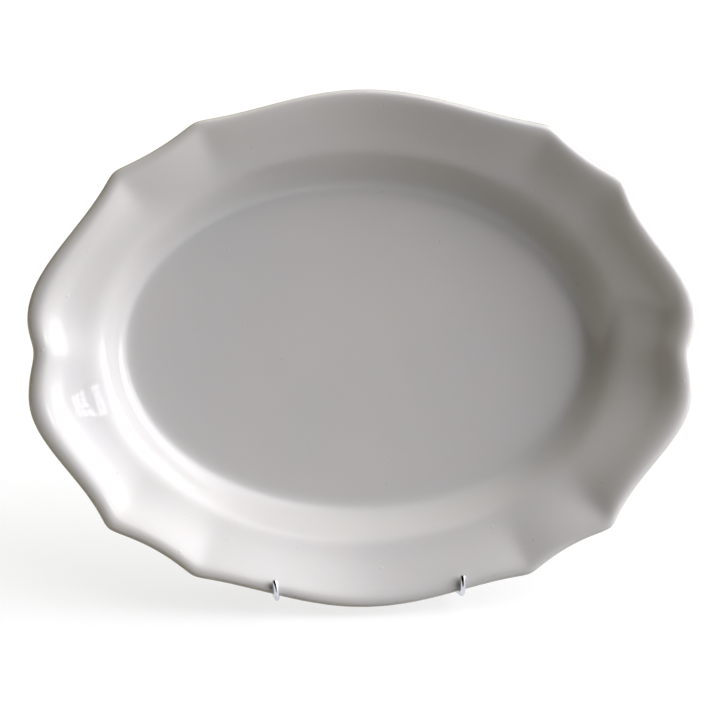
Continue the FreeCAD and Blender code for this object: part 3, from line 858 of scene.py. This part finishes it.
def china_material():
    """Off-white earthenware under a clear, slightly uneven glaze, bare on the foot ring."""
    material, s, surface = new_material("glazed_china")
    bare = along_section(s, FOOT_POLE, half_width=1.9)
    grime = s.between(s.noise(160, 5, 0.65), 0.35, 0.75)
    s.put(surface["Base Color"], china_colour(s, bare, grime))
    s.put(surface["Roughness"], s.maths("MULTIPLY_ADD", bare, 0.57, 0.33))
    s.put(surface["Coat Weight"], s.maths("MULTIPLY_ADD", bare, -0.6, 0.6))
    s.put(surface["Coat Roughness"], china_gloss(s))
    s.put(surface["Coat IOR"], GLAZE_IOR)
    s.put(surface["Specular IOR Level"], 0.4)
    ripple = s.bump(s.noise(140, 2), 0.06, 0.0004)
    pips = s.bump(spots(s, PIPS_PER_METRE, PIP_RADIUS, shift=3.7), 0.5, 0.00025, ripple)
    s.put(surface["Coat Normal"], pips)
    grain = s.bump(s.noise(700, 2), 0.05, 0.0002, pips)
    s.put(surface["Normal"], s.bump(s.maths("MULTIPLY", bare, grime), 0.6, 0.0003, grain))
    return material


LINES_ROUND = 9                 # fineness of the die lines round a wire, and along it
LINES_ALONG = 60


def drawn_lines(s):
    """Fine lines that the drawing die leaves along a wire."""
    around = s.maths("MULTIPLY", s.attribute("around"), 2 * math.pi)
    place = s.node("ShaderNodeCombineXYZ", {
        "X": s.maths("MULTIPLY", s.maths("COSINE", around), LINES_ROUND),
        "Y": s.maths("MULTIPLY", s.maths("SINE", around), LINES_ROUND),
        "Z": s.maths("MULTIPLY", s.attribute("along"), LINES_ALONG)})
    return s.noise(1, 3, 0.6, place)


def chrome_material():
    """Bright plating over drawn steel wire, with faint die lines, haze and a little tarnish."""
    material, s, surface = new_material("chrome_wire")
    lines = drawn_lines(s)
    haze = s.between(s.noise(180, 4), 0.35, 0.75)
    tarnish = s.maths("MULTIPLY", s.between(s.noise(45, 6, 0.7), 0.6, 0.78), 0.35)
    plating = s.blend(haze, CHROME, CHROME_HAZY)
    s.put(surface["Base Color"], s.blend(tarnish, plating, CHROME_TARNISHED))
    s.put(surface["Metallic"], 1.0)
    polish = s.maths("MULTIPLY_ADD", haze, 0.08, 0.1)
    s.put(surface["Roughness"], s.maths("MULTIPLY_ADD", tarnish, 0.6, polish))
    s.put(surface["Normal"], s.bump(lines, 0.25, 0.00008))
    return material


def weld_material():
    """Plated weld metal: duller and lumpier than the wire, with a straw-brown heat tint."""
    material, s, surface = new_material("chrome_weld")
    tint = s.between(s.noise(420, 5, 0.6), 0.35, 0.7)
    s.put(surface["Base Color"], s.blend(tint, CHROME_HAZY, CHROME_TARNISHED))
    s.put(surface["Metallic"], 1.0)
    s.put(surface["Roughness"], s.maths("MULTIPLY_ADD", tint, 0.25, 0.2))
    s.put(surface["Normal"], s.bump(s.noise(1500, 4, 0.6), 0.5, 0.0002))
    return material


def floor_material():
    """Plain white table, lit a little from within so that shadows on it stay soft."""
    material, s, surface = new_material("pale_floor")
    s.put(surface["Base Color"], s.blend(s.noise(3, 4), *FLOOR_GREYS))
    s.put(surface["Roughness"], 0.9)
    s.put(surface["Specular IOR Level"], 0.1)
    s.put(surface["Emission Color"], WHITE)
    s.put(surface["Emission Strength"], 0.72)
    s.put(surface["Normal"], s.bump(s.noise(260, 4), 0.15, 0.0003))
    return material


def backdrop_material():
    """Even white, whatever the light."""
    material, s, surface = new_material("backdrop_white")
    s.put(surface["Base Color"], BLACK)
    s.put(surface["Specular IOR Level"], 0)
    s.put(surface["Emission Color"], WHITE)
    s.put(surface["Emission Strength"], 1)
    return material


# ---------------------------------------------------------------- stage, lights and camera


FLOOR_HALF_SPAN = 30            # metres, as are the backdrop's radius and height
BACKDROP_RADIUS = 15
BACKDROP_HEIGHT = 15
BACKDROP_SIDES = 48


def make_floor():
    """A wide pale floor under the easel's feet. The object sees it only in its own shine."""
    span = FLOOR_HALF_SPAN
    corners = [(-span, -span, 0), (span, -span, 0), (span, span, 0), (-span, span, 0)]
    floor = new_mesh("floor", corners, [[0, 1, 2, 3]], smooth=False)
    floor.data.materials.append(floor_material())
    floor.visible_diffuse = False
    floor.visible_shadow = False


def make_backdrop():
    """A round white wall, far off, that only the camera sees."""
    turns = [math.tau * i / BACKDROP_SIDES for i in range(BACKDROP_SIDES)]
    ring = [(BACKDROP_RADIUS * math.cos(turn), BACKDROP_RADIUS * math.sin(turn)) for turn in turns]
    corners = [(x, y, height) for height in (0, BACKDROP_HEIGHT) for x, y in ring]
    faces = []
    for i in range(BACKDROP_SIDES):
        beside = (i + 1) % BACKDROP_SIDES
        faces.append([i, beside, BACKDROP_SIDES + beside, BACKDROP_SIDES + i])
    wall = new_mesh("backdrop", corners, faces)
    wall.data.materials.append(backdrop_material())
    wall.visible_diffuse = False
    wall.visible_glossy = False
    wall.visible_shadow = False


DAYLIGHT = (0.97, 0.97, 1.03)
CEILING_LIGHT = (1.0, 0.97, 0.85)
WARM_BOUNCE = (1.0, 0.83, 0.5)
GLOW_HALF_WIDTH = 30            # degrees from the middle of a soft glow of light out to its edge
GLOWS = [
    # azimuth and elevation of the middle in degrees, colour, strength; azimuth 90 is on the right
    (90, 10, DAYLIGHT, 5),
    (60, 10, DAYLIGHT, 1.8),
    (90, 35, DAYLIGHT, 3),
    (120, 35, DAYLIGHT, 2),
    (60, 50, DAYLIGHT, 3.2),
    (0, 90, CEILING_LIGHT, 1.2),
    (180, 45, CEILING_LIGHT, 1),
    (60, -35, WARM_BOUNCE, 0.4),
    (-90, -20, WARM_BOUNCE, 2.3),
]
CASEMENT = (47.5, 24)           # azimuth and elevation of the casement that glints in the glaze
CASEMENT_HALF_WIDTH = 4.5       # degrees, as is its half height
CASEMENT_HALF_HEIGHT = 6
CASEMENT_PANES = (3, 4)         # across and up
CASEMENT_BAR = (0.06, 0.11)     # from a bar's middle to the first and the full light, in panes
CASEMENT_EDGE = 0.05            # from the casement's edge in to its full light, in panes
CASEMENT_LIGHT = (9.5, 9.5, 10.2)


def direction(azimuth, elevation):
    """Unit vector towards an azimuth and elevation in degrees."""
    a, e = math.radians(azimuth), math.radians(elevation)
    return Vector((math.sin(a) * math.cos(e), -math.cos(a) * math.cos(e), math.sin(e)))


def casement_mask(s, towards):
    """1 through the panes of a small far-off casement, and 0 on its bars and outside it."""
    middle = direction(*CASEMENT)
    side = middle.cross(Vector((0, 0, 1))).normalized()
    rise = side.cross(middle)
    ahead = s.dot(towards, middle)
    mask = s.between(ahead, 0.5, 0.6)       # none of it on the far side of the room
    half_angles = (CASEMENT_HALF_WIDTH, CASEMENT_HALF_HEIGHT)
    for axis, half_angle, panes in zip((side, rise), half_angles, CASEMENT_PANES):
        off = s.dot(towards, axis)
        reach = panes / 2
        per_slope = reach / math.tan(math.radians(half_angle))
        place = s.maths("MULTIPLY", s.maths("DIVIDE", off, ahead), per_slope)
        from_bar = s.maths("PINGPONG", s.maths("ADD", place, reach), 0.5)
        pane = s.between(from_bar, *CASEMENT_BAR)
        inside = s.between(s.maths("ABSOLUTE", place), reach, reach - CASEMENT_EDGE)
        mask = s.maths("MULTIPLY", mask, s.maths("MULTIPLY", pane, inside))
    return mask


def make_lights():
    """A room with soft daylight on the right, a warm ceiling and floor, and one small casement."""
    world = bpy.data.worlds.new("room")
    bpy.context.scene.world = world
    world.use_nodes = True
    s = Shader(world.node_tree)
    towards = s.node("ShaderNodeTexCoord", output="Generated")
    panes = casement_mask(s, towards)
    total = s.scaled(CASEMENT_LIGHT, panes)
    edge = math.cos(math.radians(GLOW_HALF_WIDTH))
    for azimuth, elevation, colour, strength in GLOWS:
        light = [channel * strength for channel in colour]
        fade = s.between(s.dot(towards, direction(azimuth, elevation)), edge, 1)
        total = s.node("ShaderNodeVectorMath", {0: total, 1: s.scaled(light, fade)})
    s.put(s.nodes["Background"].inputs["Color"], total)
    bpy.context.scene.view_settings.view_transform = "Standard"


CAMERA_AZIMUTH = -8.5           # degrees round from straight on to the platter, to the left
CAMERA_RISE = 2                 # degrees above the platter's own normal
CAMERA_DISTANCE = 1.025         # metres
CAMERA_NEAREST = 0.01           # what is nearer than this isn't drawn, in metres
CAMERA_LENS = 85                # millimetres, as is the sensor's width
CAMERA_SENSOR = 36
RIM_PLANE = 38                  # height of the rim's edge above the foot ring
AIM_ACROSS = -3.9               # from the middle of the rim's plane to the point aimed at
AIM_UP = -7.5


def make_camera():
    """A short telephoto view, nearly square on to the leaning platter."""
    turn, rise = math.radians(CAMERA_AZIMUTH), math.radians(CAMERA_RISE)
    back = (ACROSS * math.sin(turn) * math.cos(rise) + UP * math.sin(rise)
            + OUT * math.cos(turn) * math.cos(rise))
    right = UP.cross(back).normalized()
    up = back.cross(right)
    aim = PLATTER_CENTRE + OUT * RIM_PLANE * MM + right * AIM_ACROSS * MM + up * AIM_UP * MM
    data = bpy.data.cameras.new("camera")
    data.lens = CAMERA_LENS
    data.sensor_width = CAMERA_SENSOR
    data.clip_start = CAMERA_NEAREST
    camera = bpy.data.objects.new("camera", data)
    bpy.context.scene.collection.objects.link(camera)
    turned_frame = Matrix((right, up, back)).transposed().to_4x4()
    turned_frame.translation = aim + back * CAMERA_DISTANCE
    camera.matrix_world = turned_frame
    bpy.context.scene.camera = camera


# ---------------------------------------------------------------- assembly


def dress(piece, body, slot, material, *nodes):
    """Give a piece its material and the body it rides on, and hide the nodes it stands for. Its
    slot is not used.
    """
    piece.data.materials.append(material)
    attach(piece, body)
    if nodes:
        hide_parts(*nodes)


def make_wires():
    """The easel's four wires, in plated steel."""
    chrome = chrome_material()
    front = wire_mesh("front_frame_wire", front_frame_path(), FRAME_WIRE, EASEL_CENTRE, seed=11)
    dress(front, "easel", "chrome_wire", chrome, "front_frame")
    pivot_path = cross_wire_path(PIVOT_HEIGHT, HALF_SPACING + PIVOT_OVERHANG)
    pivot = wire_mesh("pivot_wire", pivot_path, FRAME_WIRE, EASEL_CENTRE, seed=12)
    dress(pivot, "easel", "chrome_wire", chrome, "pivot_cross_wire")
    lower_path = cross_wire_path(-LOWER_WIRE_DROP, HALF_SPACING + FRAME_WIRE / 2)
    lower = wire_mesh("lower_wire", lower_path, FRAME_WIRE, EASEL_CENTRE, seed=13)
    dress(lower, "easel", "chrome_wire", chrome, "lower_cross_wire")
    leg = wire_mesh("rear_leg_wire", rear_leg_path(), LEG_WIRE, EASEL_CENTRE, seed=14)
    dress(leg, "rear_leg", "chrome_wire", chrome, "rear_leg")


def make_welds():
    """The beads where the cross wires are welded to the uprights."""
    weld = weld_material()
    for number, up in enumerate((PIVOT_HEIGHT, -LOWER_WIRE_DROP)):
        for side in (-1, 1):
            bead = weld_bead(up, side, seed=20 + 2 * number + side)
            dress(bead, "easel", "chrome_wire", weld)


def main():
    """The platter on its easel, and the stage that it stands on."""
    dress(make_platter(), "platter", "glazed_china", china_material(), "platter")
    make_wires()
    make_welds()
    make_floor()
    make_backdrop()
    make_lights()
    make_camera()


main()
